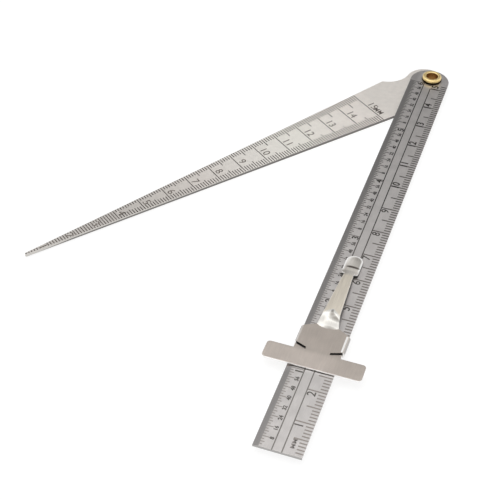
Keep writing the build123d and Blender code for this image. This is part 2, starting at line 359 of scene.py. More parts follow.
def new_row_of_marks():
    """A row of cross-lines up the Y axis. Each runs from the outer end to an inner end, which
    depends on whether its count falls on a middle, long or whole division."""
    tree = bpy.data.node_groups.new("row of marks", "GeometryNodeTree")
    for name, kind in MARK_SIZES:
        tree.interface.new_socket(name, in_out="INPUT", socket_type=kind)
    tree.interface.new_socket("Filling", in_out="INPUT", socket_type="NodeSocketMaterial")
    tree.interface.new_socket("Geometry", in_out="OUTPUT", socket_type="NodeSocketGeometry")
    add = adder(tree)
    sizes = add("NodeGroupInput").outputs
    count = arithmetic(add, "ADD", add("GeometryNodeInputIndex").outputs[0], sizes["Count from"])

    def end_of(name):
        return arithmetic(add, "MULTIPLY_ADD", count, sizes[name + " step"], sizes[name + " end"])

    inner = end_of("Short")
    for name in ("Middle", "Long", "Whole"):
        left_over = arithmetic(add, "FLOORED_MODULO", count, sizes[name + " every"])
        choice = add("GeometryNodeSwitch", input_type="FLOAT")
        plug(arithmetic(add, "COMPARE", left_over, 0.0, 0.5), choice.inputs["Switch"])
        plug(inner, choice.inputs["False"])
        plug(end_of(name), choice.inputs["True"])
        inner = choice.outputs[0]
    outer = end_of("Outer")
    length = arithmetic(add, "ABSOLUTE", arithmetic(add, "SUBTRACT", outer, inner))
    middle = arithmetic(add, "MULTIPLY", arithmetic(add, "ADD", outer, inner), 0.5)
    along = arithmetic(add, "MULTIPLY_ADD", count, sizes["Pitch"], sizes["First mark"])

    row = add("GeometryNodeMeshLine")
    plug(sizes["Marks"], row.inputs["Count"])
    spot = add("ShaderNodeCombineXYZ")
    plug(middle, spot.inputs["X"])
    plug(along, spot.inputs["Y"])
    placed = add("GeometryNodeSetPosition")
    plug(row.outputs["Mesh"], placed.inputs["Geometry"])
    plug(spot.outputs[0], placed.inputs["Position"])
    size = add("ShaderNodeCombineXYZ")
    plug(length, size.inputs["X"])
    plug(sizes["Line width"], size.inputs["Y"])
    plug(ETCH_PROUD + ETCH_SUNK, size.inputs["Z"])
    marks = add("GeometryNodeInstanceOnPoints")
    plug(placed.outputs["Geometry"], marks.inputs["Points"])
    plug(add("GeometryNodeMeshCube").outputs["Mesh"], marks.inputs["Instance"])
    plug(size.outputs[0], marks.inputs["Scale"])
    solid = add("GeometryNodeRealizeInstances")
    plug(marks.outputs["Instances"], solid.inputs["Geometry"])
    filled = add("GeometryNodeSetMaterial")
    plug(solid.outputs["Geometry"], filled.inputs["Geometry"])
    plug(sizes["Filling"], filled.inputs["Material"])
    plug(filled.outputs["Geometry"], add("NodeGroupOutput").inputs["Geometry"])
    return tree


row_of_marks = new_row_of_marks()


def cut_marks(name, filling, **sizes):
    """One row of marks as a plain mesh about z = 0, not yet in its place."""
    chosen = {key.replace("_", " ").capitalize(): value for key, value in sizes.items()}
    carrier = new_object(name, bpy.data.meshes.new(name))
    modifier = carrier.modifiers.new("marks", "NODES")
    modifier.node_group = row_of_marks
    for item in row_of_marks.interface.items_tree:
        if item.in_out == "INPUT":
            if item.name == "Filling":
                modifier[item.identifier] = filling
            else:
                modifier[item.identifier] = chosen[item.name]
    bpy.context.view_layer.update()
    made = carrier.evaluated_get(bpy.context.evaluated_depsgraph_get())
    cut = bpy.data.meshes.new_from_object(made)
    carrier.modifiers.clear()
    bpy.data.objects.remove(carrier)
    return cut


def straight_marks(
    name, filling, marks, first, pitch, width, edge, short, middles, longs, wholes, count=1
):
    """Marks that all start from one straight edge, so that no end steps from mark to mark."""
    return cut_marks(
        name,
        filling,
        marks=marks,
        count_from=count,
        first_mark=first,
        pitch=pitch,
        line_width=width,
        outer_end=edge,
        outer_step=0.0,
        short_end=short,
        short_step=0.0,
        middle_every=middles[0],
        middle_end=middles[1],
        middle_step=0.0,
        long_every=longs[0],
        long_end=longs[1],
        long_step=0.0,
        whole_every=wholes[0],
        whole_end=wholes[1],
        whole_step=0.0,
    )


def one_mark(name, filling, middle, width, outer, inner):
    """One mark across the Y axis, from its outer end to its inner end."""
    end = (1, inner)
    return straight_marks(
        name,
        filling,
        marks=1,
        first=middle,
        pitch=0.0,
        width=width,
        edge=outer,
        short=inner,
        middles=end,
        longs=end,
        wholes=end,
    )


def fit_piece(name, meshes, body, place=Matrix.Identity(4)):
    """Joins plain meshes into one piece that rides on a body, each moved to its place."""
    joined = bmesh.new()
    fillings = []
    for part in meshes:
        part.transform(place)
        for filling in part.materials:
            if filling not in fillings:
                fillings.append(filling)
        own = [fillings.index(filling) for filling in part.materials]
        first = len(joined.faces)
        joined.from_mesh(part)
        joined.faces.ensure_lookup_table()
        for face in joined.faces[first:]:
            face.material_index = own[face.material_index]
    bmesh.ops.recalc_face_normals(joined, faces=joined.faces)
    mesh = bpy.data.meshes.new(name)
    joined.to_mesh(mesh)
    joined.free()
    for filling in fillings:
        mesh.materials.append(filling)
    piece = new_object(name, mesh)
    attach(piece, body)
    return piece


ETCH_LEVEL = (ETCH_PROUD - ETCH_SUNK) / 2
RULE_PLACE = Matrix.Translation((METRIC_EDGE, ZERO_END, ETCH_LEVEL))

millimetre_marks = []
for first, last, long_end in METRIC_ROWS:
    row = straight_marks(
        "millimetre marks",
        mark_grey,
        marks=last - first + 1,
        count=first,
        first=0.0,
        pitch=1 * mm,
        width=METRIC_LINE,
        edge=-METRIC_EDGE_GAP,
        short=-METRIC_SHORT,
        middles=(5, -METRIC_MIDDLE),
        longs=(10, -long_end),
        wholes=(10, -long_end),
    )
    millimetre_marks.append(row)
fit_piece("rule_millimetre_marks", millimetre_marks, "rule", RULE_PLACE)

inch_marks = straight_marks(
    "inch marks",
    mark_grey,
    marks=INCHES * INCH_MARKS,
    first=0.0,
    pitch=INCH / INCH_MARKS,
    width=INCH_LINE,
    edge=INCH_START,
    short=INCH_START + THIRTY_SECOND,
    middles=(2, INCH_START + SIXTEENTH),
    longs=(4, INCH_START + EIGHTH),
    wholes=(INCH_MARKS, INCH_START + WHOLE_INCH),
)
fit_piece("rule_inch_marks", [inch_marks], "rule", RULE_PLACE)

long_lines = []
for across, reach in ((INNER_LINE, METRIC_LENGTH * mm), (OUTER_LINE, INCHES * INCH)):
    sides = (across - LONG_LINE / 2, across + LONG_LINE / 2)
    long_lines.append(one_mark("long line", line_black, reach / 2, reach, *sides))
fit_piece("rule_long_lines", long_lines, "rule", RULE_PLACE)

# The rule's numbers: stamped upright figures that read toward the head, filled with black.
# Centimetres stand beside the inner long line, inches beside the outer one, and a row of very
# small figures counts the sixty-fourths of every inch.

NUMBER_BLACK = (0.020, 0.018, 0.016)
NUMBER_WORN = (0.12, 0.11, 0.10)
UNIT_GREY = (0.30, 0.275, 0.26)
FONT_FIGURE_WIDTH = 0.62
FONT_HALF_DEPTH = 0.5
FONT_CURVE_STEPS = 4
FIGURE_WIDTH = 0.62
CENTIMETRE_HEIGHT = 2.2 * mm
CENTIMETRE_FOOT = -2.5 * mm
SINGLE_FIGURE_BACK = 1.1 * mm
UNITS_AHEAD = 1.35 * mm
TENS_WEIGHT = 0.05
UNITS_WEIGHT = 0.025
FIGURE_WEIGHT = 0.01
UNIT_HEIGHT = 1.05 * mm
UNIT_FOOT = -2.5 * mm
UNIT_MIDDLE = 3.35 * mm
UNIT_WIDTH = 0.85
UNIT_WEIGHT = 0.03
INCH_HEIGHT = 1.95 * mm
INCH_FOOT = -7.5 * mm
INCH_FIGURE_BACK = 0.75 * mm
INCH_WEIGHT = 0.025
EIGHTHS = 8
FRACTION_HEIGHT = 1.1 * mm
FRACTION_FOOT = -7.71 * mm
FRACTION_WEIGHT = 0.04
HEAD_TO_LEFT = Matrix.Rotation(math.pi / 2, 4, "Z")

number_black = new_etching("number black", NUMBER_BLACK, NUMBER_WORN)
unit_grey = new_etching("unit grey", UNIT_GREY)


def figure(words, height, width, filling, weight=FIGURE_WEIGHT, gap=1.0):
    """Stamped figures as a flat mesh: cap height and width of one figure in its height, the foot
    at y = 0 and the middle at x = 0."""
    lettering = bpy.data.curves.new("figure", "FONT")
    lettering.body = words
    lettering.align_x = "CENTER"
    lettering.offset = weight
    lettering.space_character = gap
    lettering.extrude = FONT_HALF_DEPTH
    lettering.resolution_u = FONT_CURVE_STEPS
    carrier = new_object("figure", lettering)
    bpy.context.view_layer.update()
    made = carrier.evaluated_get(bpy.context.evaluated_depsgraph_get())
    mesh = bpy.data.meshes.new_from_object(made)
    bpy.data.objects.remove(carrier)
    low = min(vertex.co.y for vertex in mesh.vertices)
    high = max(vertex.co.y for vertex in mesh.vertices)
    left = min(vertex.co.x for vertex in mesh.vertices)
    right = max(vertex.co.x for vertex in mesh.vertices)
    scale = height / (high - low)
    stretch = width / FONT_FIGURE_WIDTH * scale
    centre = Matrix.Translation((-(left + right) / 2, -low, 0))
    size = Matrix.Diagonal((stretch, scale, ETCH_PROUD + ETCH_SUNK, 1))
    mesh.transform(size @ centre)
    mesh.materials.clear()
    mesh.materials.append(filling)
    return mesh


def stamp(mesh, along, across):
    """Moves figures to their place beside the rule's scale, tops toward the inch edge."""
    mesh.transform(Matrix.Translation((across, along, 0)) @ HEAD_TO_LEFT)
    return mesh


centimetre_numbers = []
for number in range(1, METRIC_LENGTH // 10 + 1):
    place = number * 10 * mm
    weight = FIGURE_WEIGHT if number < 10 else UNITS_WEIGHT
    units = figure(str(number % 10), CENTIMETRE_HEIGHT, FIGURE_WIDTH, number_black, weight)
    if number < 10:
        centimetre_numbers.append(stamp(units, place - SINGLE_FIGURE_BACK, CENTIMETRE_FOOT))
    else:
        tens = figure("1", CENTIMETRE_HEIGHT, FIGURE_WIDTH, number_black, TENS_WEIGHT)
        centimetre_numbers.append(stamp(tens, place, CENTIMETRE_FOOT))
        centimetre_numbers.append(stamp(units, place + UNITS_AHEAD, CENTIMETRE_FOOT))
unit = figure("MM", UNIT_HEIGHT, UNIT_WIDTH, unit_grey, UNIT_WEIGHT)
centimetre_numbers.append(stamp(unit, UNIT_MIDDLE, UNIT_FOOT))
fit_piece("rule_centimetre_numbers", centimetre_numbers, "rule", RULE_PLACE)

inch_numbers = []
for number in range(1, INCHES + 1):
    mesh = figure(str(number), INCH_HEIGHT, FIGURE_WIDTH, number_black, INCH_WEIGHT)
    inch_numbers.append(stamp(mesh, number * INCH - INCH_FIGURE_BACK, INCH_FOOT))
for count in range(INCHES * EIGHTHS):
    if count % EIGHTHS:
        words = str(count % EIGHTHS * 8)
        mesh = figure(words, FRACTION_HEIGHT, FIGURE_WIDTH, number_black, FRACTION_WEIGHT)
        inch_numbers.append(stamp(mesh, count * INCH / EIGHTHS, FRACTION_FOOT))
fit_piece("rule_inch_numbers", inch_numbers, "rule", RULE_PLACE)

# The taper blade: a long wedge of stainless steel under the rule, with matt satin faces from fine
# blasting and dark sheared sides. Its width in millimetres is the number at its cross-line.

BLADE_LENGTH = 150 * mm
BLADE_TONES = (
    (0 * mm, (0.89, 0.848, 0.80)),
    (22 * mm, (0.89, 0.848, 0.80)),
    (30 * mm, (0.975, 0.92, 0.87)),
    (54 * mm, (0.965, 0.94, 0.88)),
    (70 * mm, (0.888, 0.855, 0.808)),
    (86 * mm, (0.79, 0.745, 0.705)),
    (103 * mm, (0.662, 0.628, 0.592)),
    (120 * mm, (0.60, 0.57, 0.54)),
)
BLADE_SIDE = (0.19, 0.18, 0.172)
BLADE_BURNISH_AND_SHEEN = (0.62, 0.60, 0.57)
BURNISH_START = 35 * mm
BURNISH_END = 140 * mm
BURNISH_BAND = 0.5 * mm
BURNISH_BLUR = 0.12 * mm
TIP_BURNISH_START = 118 * mm
BLADE_FACE_LEVEL = -1.3 * mm
BLADE_THICKNESS = 0.9 * mm
SATIN_GRAIN = 0.16 * mm
SATIN_CLOUD = 1.6 * mm


def blade_face(add):
    """The satin face, with painted light that is brightest behind the wide end and fades toward the
    tip.
    """
    return tones(add, from_axis(add, position(add)), BLADE_LENGTH, BLADE_TONES)


def blade_side(add):
    """The sheared side, with a light band under the face: the cut's burnished zone, widened toward the
    tip by painted sheen until it covers the whole side.
    """
    spot = position(add)
    reach = from_axis(add, spot)
    band = spread(add, reach, 0.0, BURNISH_BAND, BURNISH_START, BURNISH_END)
    tip_sheen = spread(add, reach, 0.0, BLADE_THICKNESS, TIP_BURNISH_START, BURNISH_END)
    band = arithmetic(add, "MAXIMUM", band, tip_sheen)
    below_face = arithmetic(add, "SUBTRACT", BLADE_FACE_LEVEL, spot["Z"])
    past_band = arithmetic(add, "SUBTRACT", below_face, band)
    burnish_and_sheen = spread(add, past_band, 1.0, 0.0, -BURNISH_BLUR, BURNISH_BLUR)
    return tint(add, burnish_and_sheen, BLADE_SIDE, BLADE_BURNISH_AND_SHEEN)


blade_steel = ground_steel(
    "blade satin steel",
    blade_face,
    blade_side,
    roughness=0.52,
    grain=(SATIN_GRAIN, SATIN_GRAIN, SATIN_GRAIN),
    cloud=SATIN_CLOUD,
    edge_roughness=0.45,
    depth=0.01 * mm,
    rounding=0.05 * mm,
    mottle=0.03,
)
wear("taper_blade", blade_steel.finish)

# The blade's marks: ten divisions to a number along both edges, with a full cross-line at each
# number. Toward the tip the two rows meet, so every mark runs right across the narrow end.

BLADE_TURN = math.radians(-36)
BLADE_MIDDLE = -0.95 * mm
WIDEST_NUMBER = 15
NARROWEST_ROWS = 4
PIVOT_TO_WIDEST = 24.85 * mm
NUMBER_PITCH = 8.15 * mm
HALF_WIDEST = 7.5 * mm
HALF_WIDTH_STEP = -0.05 * mm
ROW_MARK_END = 0.05 * mm
# Each row's side, then the inner ends of its short and middle marks, each with its step per mark
BLADE_ROWS = ((1, 4.75, -0.0413, 3.60, -0.0335), (-1, 4.83, -0.035, 2.47, -0.014))
LAST_TENTH = 6
TENTHS_BESIDE_NUMBER = (1, 2, 3)
TIP_MARK_END = 0.07 * mm
STUB_LEFT = -0.55 * mm
STUB_RIGHT = 0.75 * mm
BLADE_LINE = 0.25 * mm
BLADE_BROWN = (0.125, 0.105, 0.09)
BLADE_GREY = (0.015, 0.011, 0.009)
TIP_GREY = (0.075, 0.062, 0.053)

blade_brown = new_etching("blade line brown", BLADE_BROWN)
blade_grey = new_etching("blade mark grey", BLADE_GREY)
tip_grey = new_etching("tip mark grey", TIP_GREY)
blade_place = (
    Matrix.Rotation(BLADE_TURN, 4, "Z")
    @ Matrix.Translation((BLADE_MIDDLE, 0, BLADE_FACE_LEVEL + ETCH_LEVEL))
)


def number_line(number):
    """Where the blade is as wide as a number, along its middle from the rivet."""
    return -PIVOT_TO_WIDEST - (WIDEST_NUMBER - number) * NUMBER_PITCH


blade_marks = []
for side, short, short_step, middle, middle_step in BLADE_ROWS:
    row = cut_marks(
        "blade marks",
        blade_grey,
        marks=(WIDEST_NUMBER - NARROWEST_ROWS) * 10 + 1,
        count_from=0,
        first_mark=-PIVOT_TO_WIDEST,
        pitch=-NUMBER_PITCH / 10,
        line_width=BLADE_LINE,
        outer_end=side * (HALF_WIDEST - ROW_MARK_END),
        outer_step=side * HALF_WIDTH_STEP,
        short_end=side * short * mm,
        short_step=side * short_step * mm,
        middle_every=5,
        middle_end=side * middle * mm,
        middle_step=side * middle_step * mm,
        long_every=10,
        long_end=0.0,
        long_step=0.0,
        whole_every=10,
        whole_end=0.0,
        whole_step=0.0,
    )
    blade_marks.append(row)

# From the number 4 to the tip the marks cross the blade, apart from the ones that a number covers,
# which keep only a stub at each edge
for tenths in range(NARROWEST_ROWS * 10 - 1, LAST_TENTH - 1, -1):
    number = tenths / 10
    edge = number / 2 * mm - TIP_MARK_END
    spans = [(edge, -edge)]
    if tenths % 10 in TENTHS_BESIDE_NUMBER:
        spans = [(edge, STUB_RIGHT), (STUB_LEFT, -edge)]
    for outer, inner in spans:
        if outer > inner:
            mark = one_mark("tip mark", tip_grey, number_line(number), BLADE_LINE, outer, inner)
            blade_marks.append(mark)
fit_piece("blade_marks", blade_marks, "taper_blade", blade_place)

# The blade's numbers: the same stamped figures as the rule's, standing on the cross-lines with
# their tops toward the rivet.

BLADE_NUMBER_HEIGHT = 2.3 * mm
BLADE_NUMBER_WEIGHT = 0.0
BLADE_NUMBER_GAP = 0.6 * mm
BLADE_NUMBER_SHIFT = 0.12 * mm
BLADE_DOUBLE_SHIFT = 0.3 * mm
BLADE_UNIT_HEIGHT = 1.75 * mm
BLADE_UNIT_WIDTH = 0.55
BLADE_UNIT_WEIGHT = 0.02
BLADE_UNIT_GAP = 1.1
BLADE_UNIT_MIDDLE = 3.2 * mm

blade_numbers = []
for number in range(1, WIDEST_NUMBER + 1):
    mesh = figure(str(number), BLADE_NUMBER_HEIGHT, FIGURE_WIDTH, blade_brown, BLADE_NUMBER_WEIGHT)
    shift = BLADE_NUMBER_SHIFT if number < 10 else BLADE_DOUBLE_SHIFT
    mesh.transform(Matrix.Translation((shift, number_line(number) + BLADE_NUMBER_GAP, 0)))
    blade_numbers.append(mesh)
unit = figure(
    "MM", BLADE_UNIT_HEIGHT, BLADE_UNIT_WIDTH, blade_brown, BLADE_UNIT_WEIGHT, BLADE_UNIT_GAP
)
unit_foot = number_line(WIDEST_NUMBER) + BLADE_NUMBER_GAP
unit.transform(Matrix.Translation((BLADE_UNIT_MIDDLE, unit_foot, 0)))
blade_numbers.append(unit)
fit_piece("blade_numbers", blade_numbers, "taper_blade", blade_place)

# The eyelet: one short brass tube, set over at both ends, that rivets the blade to the rule and
# leaves a hole to hang the gauge by.

BRASS = (0.95, 0.76, 0.38)
BRASS_DARK = (0.80, 0.58, 0.24)
BRASS_BORE_SHADE = (0.36, 0.18, 0.05)
BRASS_UNDERSIDE_SHADE = (0.12, 0.08, 0.03)
BRASS_CLOUD = 0.6 * mm
BRASS_METAL = 0.85
BRASS_DULL = 0.42
BRASS_POLISHED = 0.3
BORE_SHADE_START = 1.3 * mm
BORE_SHADE_FULL = 0.9 * mm
BORE_SHADE_RADIUS = 2.2 * mm
UNDER_FACING_FULL = -0.3

brass, brass_shader, brass_add = new_finish("eyelet brass")
brass_clouds = noise(brass_add, (BRASS_CLOUD,) * 3)
brass_tone = tint(brass_add, spread(brass_add, brass_clouds, 0, 1), BRASS_DARK, BRASS)
brass_spot = position(brass_add)
# Painted shade: the bore darkens below its mouth
inside = arithmetic(brass_add, "LESS_THAN", from_axis(brass_add, brass_spot), BORE_SHADE_RADIUS)
below_mouth = spread(brass_add, brass_spot["Z"], 0.0, 1.0, BORE_SHADE_START, BORE_SHADE_FULL)
bore_shade = arithmetic(brass_add, "MULTIPLY", inside, below_mouth)
brass_tone = tint(brass_add, bore_shade, brass_tone, BRASS_BORE_SHADE)
# Painted shade: faces that look down are dark
brass_underside_shade = spread(brass_add, facing(brass_add, "Z"), 0.0, 1.0, 0.0, UNDER_FACING_FULL)
brass_tone = tint(brass_add, brass_underside_shade, brass_tone, BRASS_UNDERSIDE_SHADE)
plug(brass_tone, brass_shader.inputs["Base Color"])
plug(BRASS_METAL, brass_shader.inputs["Metallic"])
brass_rough = spread(brass_add, brass_clouds, BRASS_DULL, BRASS_POLISHED)
plug(brass_rough, brass_shader.inputs["Roughness"])
wear("pivot_eyelet", brass)

# The slider: one piece of spring steel sheet, stamped and folded round the rule, with a raised
# pocket clip. Its rolled surface is warm in tone with streaks along it, and the clip is whiter.
# Painted highlights brighten the folds, the neck and the rim of the pad; painted shade darkens the
# slits, the groove and the clip's underside.

SLIDER_MIDDLE = -0.4 * mm
SLIDER_FACE = (0.555, 0.495, 0.445)
ROLLED_ACROSS = 0.22 * mm
ROLLED_ALONG = 3.5 * mm
ROLLED_CLOUD = 4.0 * mm
CROSSBAR_FACE = (0.66, 0.59, 0.535)
CROSSBAR_TOP = -124.0 * mm
CROSSBAR_BLUR = 0.6 * mm
CROSSBAR_LIT_END = 2.5 * mm
CROSSBAR_DIM_START = 6.0 * mm
CROSSBAR_DIM = 0.3
CLIP_FACE = (0.83, 0.76, 0.65)
CLIP_METAL = 0.55
CLIP_STREAK = 0.07
CLIP_UNDERSIDE_SHADE = (0.06, 0.05, 0.045)
CLIP_UNDER_START = -0.1
CLIP_UNDER_FULL = -0.4
NECK_LIT = (0.81, 0.79, 0.745)
NECK_SHADED = (0.29, 0.27, 0.245)
NECK_FOOT = -115.15 * mm
NECK_FOOT_CURVE = 0.095 / mm
NECK_FOOT_BLUR = 0.1 * mm
NECK_TOP = -109.8 * mm
NECK_TOP_SLOPE = 0.75
NECK_TOP_BLUR = 0.15 * mm
NECK_BAND = 0.75 * mm
NECK_BAND_BLUR = 0.3 * mm
RIDGE_HALF_WIDTH = 0.25 * mm
RIDGE_FOOT = 0.6 * mm
SHADE_PATCH_REACH = 2.2
# Each painted shade patch's place across and along, half its width and length, and how dark it is
NECK_SHADE_PATCHES = (
    (0.05 * mm, -110.75 * mm, 0.35 * mm, 0.6 * mm, 1.0),
    (0.3 * mm, -111.6 * mm, 0.7 * mm, 0.7 * mm, 1.0),
    (1.3 * mm, -112.3 * mm, 1.4 * mm, 0.6 * mm, 1.0),
    (-1.7 * mm, -113.0 * mm, 0.7 * mm, 0.7 * mm, 0.4),
    (0.5 * mm, -113.8 * mm, 1.5 * mm, 0.5 * mm, 0.4),
    (0.8 * mm, -115.1 * mm, 1.6 * mm, 0.6 * mm, 1.0),
)
PAD_START = -95.0 * mm
PAD_BLUR_BEFORE = 1.2 * mm
PAD_BLUR_AFTER = 0.2 * mm
PAD_TONE_FOOT = -93.1 * mm
PAD_TONE_SPAN = 4.5 * mm
PAD_TONE_LEFT = -2.2 * mm
PAD_TONE_WIDTH = 3.2 * mm
PAD_TONES = (
    (0.0 * mm, (1.0, 0.98, 0.95)),
    (0.9 * mm, (0.95, 0.915, 0.87)),
    (1.7 * mm, (0.75, 0.71, 0.66)),
    (2.2 * mm, (0.62, 0.585, 0.54)),
    (2.7 * mm, (0.53, 0.50, 0.46)),
    (3.2 * mm, (0.49, 0.465, 0.43)),
)
PAD_SHINE = 0.9
PAD_SHINE_FULL = 0.4 * mm
PAD_SHINE_END = 1.5 * mm
PAD_LEDGE = (0.80, 0.75, 0.69)
PAD_LEDGE_PLACE = -93.2 * mm
PAD_LEDGE_SHARE = 0.8
PAD_LEDGE_FULL = 0.3 * mm
PAD_LEDGE_END = 0.8 * mm
CLIP_RIM_HIGHLIGHT = (1.0, 0.99, 0.97)
PAD_ROUND = -89.7 * mm
RIM_INNER = 1.72 * mm
RIM_OUTER = 2.05 * mm
RIM_FOOT = 1.0 * mm
RIM_FULL = 2.0 * mm
RIM_SHINE = 0.85
SLIDER_EDGE_HIGHLIGHT = (0.97, 0.96, 0.94)
FOLD_METAL = 0.3
FOLD_ALONG = -118.85 * mm
FOLD_HALF_LENGTH = 2.75 * mm
RIGHT_FOLD = 5.65 * mm
RIGHT_FOLD_FULL = 0.18 * mm
RIGHT_FOLD_END = 0.3 * mm
LEFT_FOLD = -6.2 * mm
LEFT_FOLD_FULL = 0.06 * mm
LEFT_FOLD_END = 0.6 * mm
LEFT_FOLD_SHARE = 0.5
FOLD_WALL_SHADE = (0.42, 0.40, 0.38)
WALL_FACING_START = 0.45
WALL_FACING_FULL = 0.7
SLIT_SHADE = (0.02, 0.018, 0.016)
SLIT_FROM_MIDDLE = 4.55 * mm
SLIT_HALF_LENGTH = 1.45 * mm
SLIT_ALONG = -122.6 * mm
SLIT_SLOPE = math.tan(math.radians(20))
SLIT_SHADE_REACH = 0.34 * mm
SLIT_BLUR = 0.06 * mm
GROOVE_SHADE = (0.12, 0.10, 0.085)
# The groove's place across and along, and half its length and width
GROOVE = (0.3 * mm, -92.1 * mm, 1.9 * mm, 0.42 * mm)
GROOVE_SQUARENESS = 4.0
GROOVE_FULL = 0.35
GROOVE_END = 1.2

# The slider's rounded edges take a painted highlight as their second tone
slider_steel = ground_steel(
    "slider spring steel",
    SLIDER_FACE,
    SLIDER_EDGE_HIGHLIGHT,
    roughness=0.33,
    grain=(ROLLED_ACROSS, ROLLED_ALONG, ROLLED_ALONG),
    cloud=ROLLED_CLOUD,
    edge_roughness=0.3,
    depth=0.012 * mm,
    rounding=0.2 * mm,
    mottle=0.04,
)
slider_add = slider_steel.add
slider_spot = position(slider_add)


def slider_math(operation, *values):
    return arithmetic(slider_add, operation, *values)


def slider_ramp(source, low, high, start, end):
    return spread(slider_add, source, low, high, start, end)


def slider_away(value, place):
    return slider_math("ABSOLUTE", slider_math("SUBTRACT", value, place))


def slider_without(value, mask):
    """The value, taken down to nothing where the mask is 1."""
    return slider_math("MULTIPLY", value, slider_math("SUBTRACT", 1.0, mask))


def slider_oval(x, y, half_width, half_length, squareness=2.0):
    """0 in the middle of an oval on the slider, 1 on its outline, and more beyond it."""
    away_x = slider_math("DIVIDE", slider_math("SUBTRACT", across, x), half_width)
    away_y = slider_math("DIVIDE", slider_math("SUBTRACT", along, y), half_length)
    away_x = slider_math("POWER", away_x, squareness)
    return slider_math("ADD", away_x, slider_math("POWER", away_y, 2.0))


across = slider_math("SUBTRACT", slider_spot["X"], SLIDER_MIDDLE)
from_middle = slider_math("ABSOLUTE", across)
across_squared = slider_math("POWER", across, 2.0)
along = slider_spot["Y"]

# The clip's neck is painted bright, with a few patches of painted shade below a painted bright top band
foot_curve = slider_math("MULTIPLY", across_squared, NECK_FOOT_CURVE)
past_foot = slider_math("SUBTRACT", along, foot_curve)
neck_foot = (NECK_FOOT - NECK_FOOT_BLUR, NECK_FOOT + NECK_FOOT_BLUR)
on_clip = slider_ramp(past_foot, 0.0, 1.0, *neck_foot)
past_top = slider_math("MULTIPLY_ADD", from_middle, NECK_TOP_SLOPE, along)
on_neck = slider_ramp(past_top, 1.0, 0.0, NECK_TOP - NECK_TOP_BLUR, NECK_TOP + NECK_TOP_BLUR)
neck_shade = 0.0
for *oval, depth in NECK_SHADE_PATCHES:
    shade_patch = slider_ramp(slider_oval(*oval), depth, 0.0, 0.0, SHADE_PATCH_REACH)
    neck_shade = slider_math("MAXIMUM", shade_patch, neck_shade)
off_ridge = slider_ramp(from_middle, 0.0, 1.0, RIDGE_HALF_WIDTH, RIDGE_FOOT)
band_foot = NECK_TOP - NECK_BAND
neck_top_highlight = slider_ramp(past_top, 0.0, 1.0, band_foot - NECK_BAND_BLUR, band_foot)
neck_top_highlight = slider_math("MULTIPLY", neck_top_highlight, off_ridge)
neck_tone = tint(slider_add, slider_without(neck_shade, neck_top_highlight), NECK_LIT, NECK_SHADED)

# Painted light and shade: the pad is painted light on its left side and darker toward its right, with a
# painted evenly lit ledge below its groove
on_pad = slider_ramp(along, 0.0, 1.0, PAD_START - PAD_BLUR_BEFORE, PAD_START + PAD_BLUR_AFTER)
pad_slant = slider_math("DIVIDE", slider_math("SUBTRACT", along, PAD_TONE_FOOT), PAD_TONE_SPAN)
pad_slant = slider_math("SUBTRACT", slider_math("MULTIPLY", across, pad_slant), PAD_TONE_LEFT)
pad_tone = tones(slider_add, pad_slant, PAD_TONE_WIDTH, PAD_TONES)
off_ledge = slider_away(along, PAD_LEDGE_PLACE)
on_ledge = slider_ramp(off_ledge, PAD_LEDGE_SHARE, 0.0, PAD_LEDGE_FULL, PAD_LEDGE_END)
pad_tone = tint(slider_add, on_ledge, pad_tone, PAD_LEDGE)
arm_tone = tint(slider_add, on_pad, CLIP_FACE, pad_tone)
clip_tone = tint(slider_add, on_neck, arm_tone, neck_tone)

# A painted highlight runs along the clip's edges past the neck and round the pad's rim; the streaks of
# rolling show all over the clip
past_round = slider_math("MAXIMUM", slider_math("SUBTRACT", along, PAD_ROUND), 0.0)
to_rim = slider_math("ADD", across_squared, slider_math("POWER", past_round, 2.0))
pad_rim_highlight = slider_ramp(slider_math("SQRT", to_rim), 0.0, 1.0, RIM_INNER, RIM_OUTER)
above_foot = slider_ramp(along, 0.0, 1.0, PAD_START + RIM_FOOT, PAD_START + RIM_FULL)
pad_rim_highlight = slider_math("MULTIPLY", pad_rim_highlight, above_foot)
on_rim_highlight = slider_math("MAXIMUM", slider_without(slider_steel.is_edge, on_neck), pad_rim_highlight)
clip_tone = tint(slider_add, on_rim_highlight, clip_tone, CLIP_RIM_HIGHLIGHT)
streak = spread(slider_add, slider_steel.grain, 1 - CLIP_STREAK, 1 + CLIP_STREAK)
clip_tone = scaled(slider_add, clip_tone, streak)
# Painted shade: the clip's underside is dark
under_clip_shade = slider_ramp(facing(slider_add, "Z"), 0.0, 1.0, CLIP_UNDER_START, CLIP_UNDER_FULL)
clip_tone = tint(slider_add, under_clip_shade, clip_tone, CLIP_UNDERSIDE_SHADE)

# Painted light and shade: the crossbar is painted lighter than the plate, but for its right end, which
# is painted in shade
on_crossbar = slider_ramp(along, 1.0, 0.0, CROSSBAR_TOP - CROSSBAR_BLUR, CROSSBAR_TOP + CROSSBAR_BLUR)
crossbar_lit = slider_ramp(across, 1.0, CROSSBAR_DIM, CROSSBAR_LIT_END, CROSSBAR_DIM_START)
on_crossbar = slider_math("MULTIPLY", on_crossbar, crossbar_lit)
crossbar_tone = slider_add("ShaderNodeVectorMath", operation="MULTIPLY")
plug(slider_steel.tone, crossbar_tone.inputs[0])
lighter = [bar / face for bar, face in zip(CROSSBAR_FACE, SLIDER_FACE)]
plug(lighter, crossbar_tone.inputs[1])
plate_tone = tint(slider_add, on_crossbar, slider_steel.tone, crossbar_tone.outputs[0])
slider_tone = tint(slider_add, on_clip, plate_tone, clip_tone)

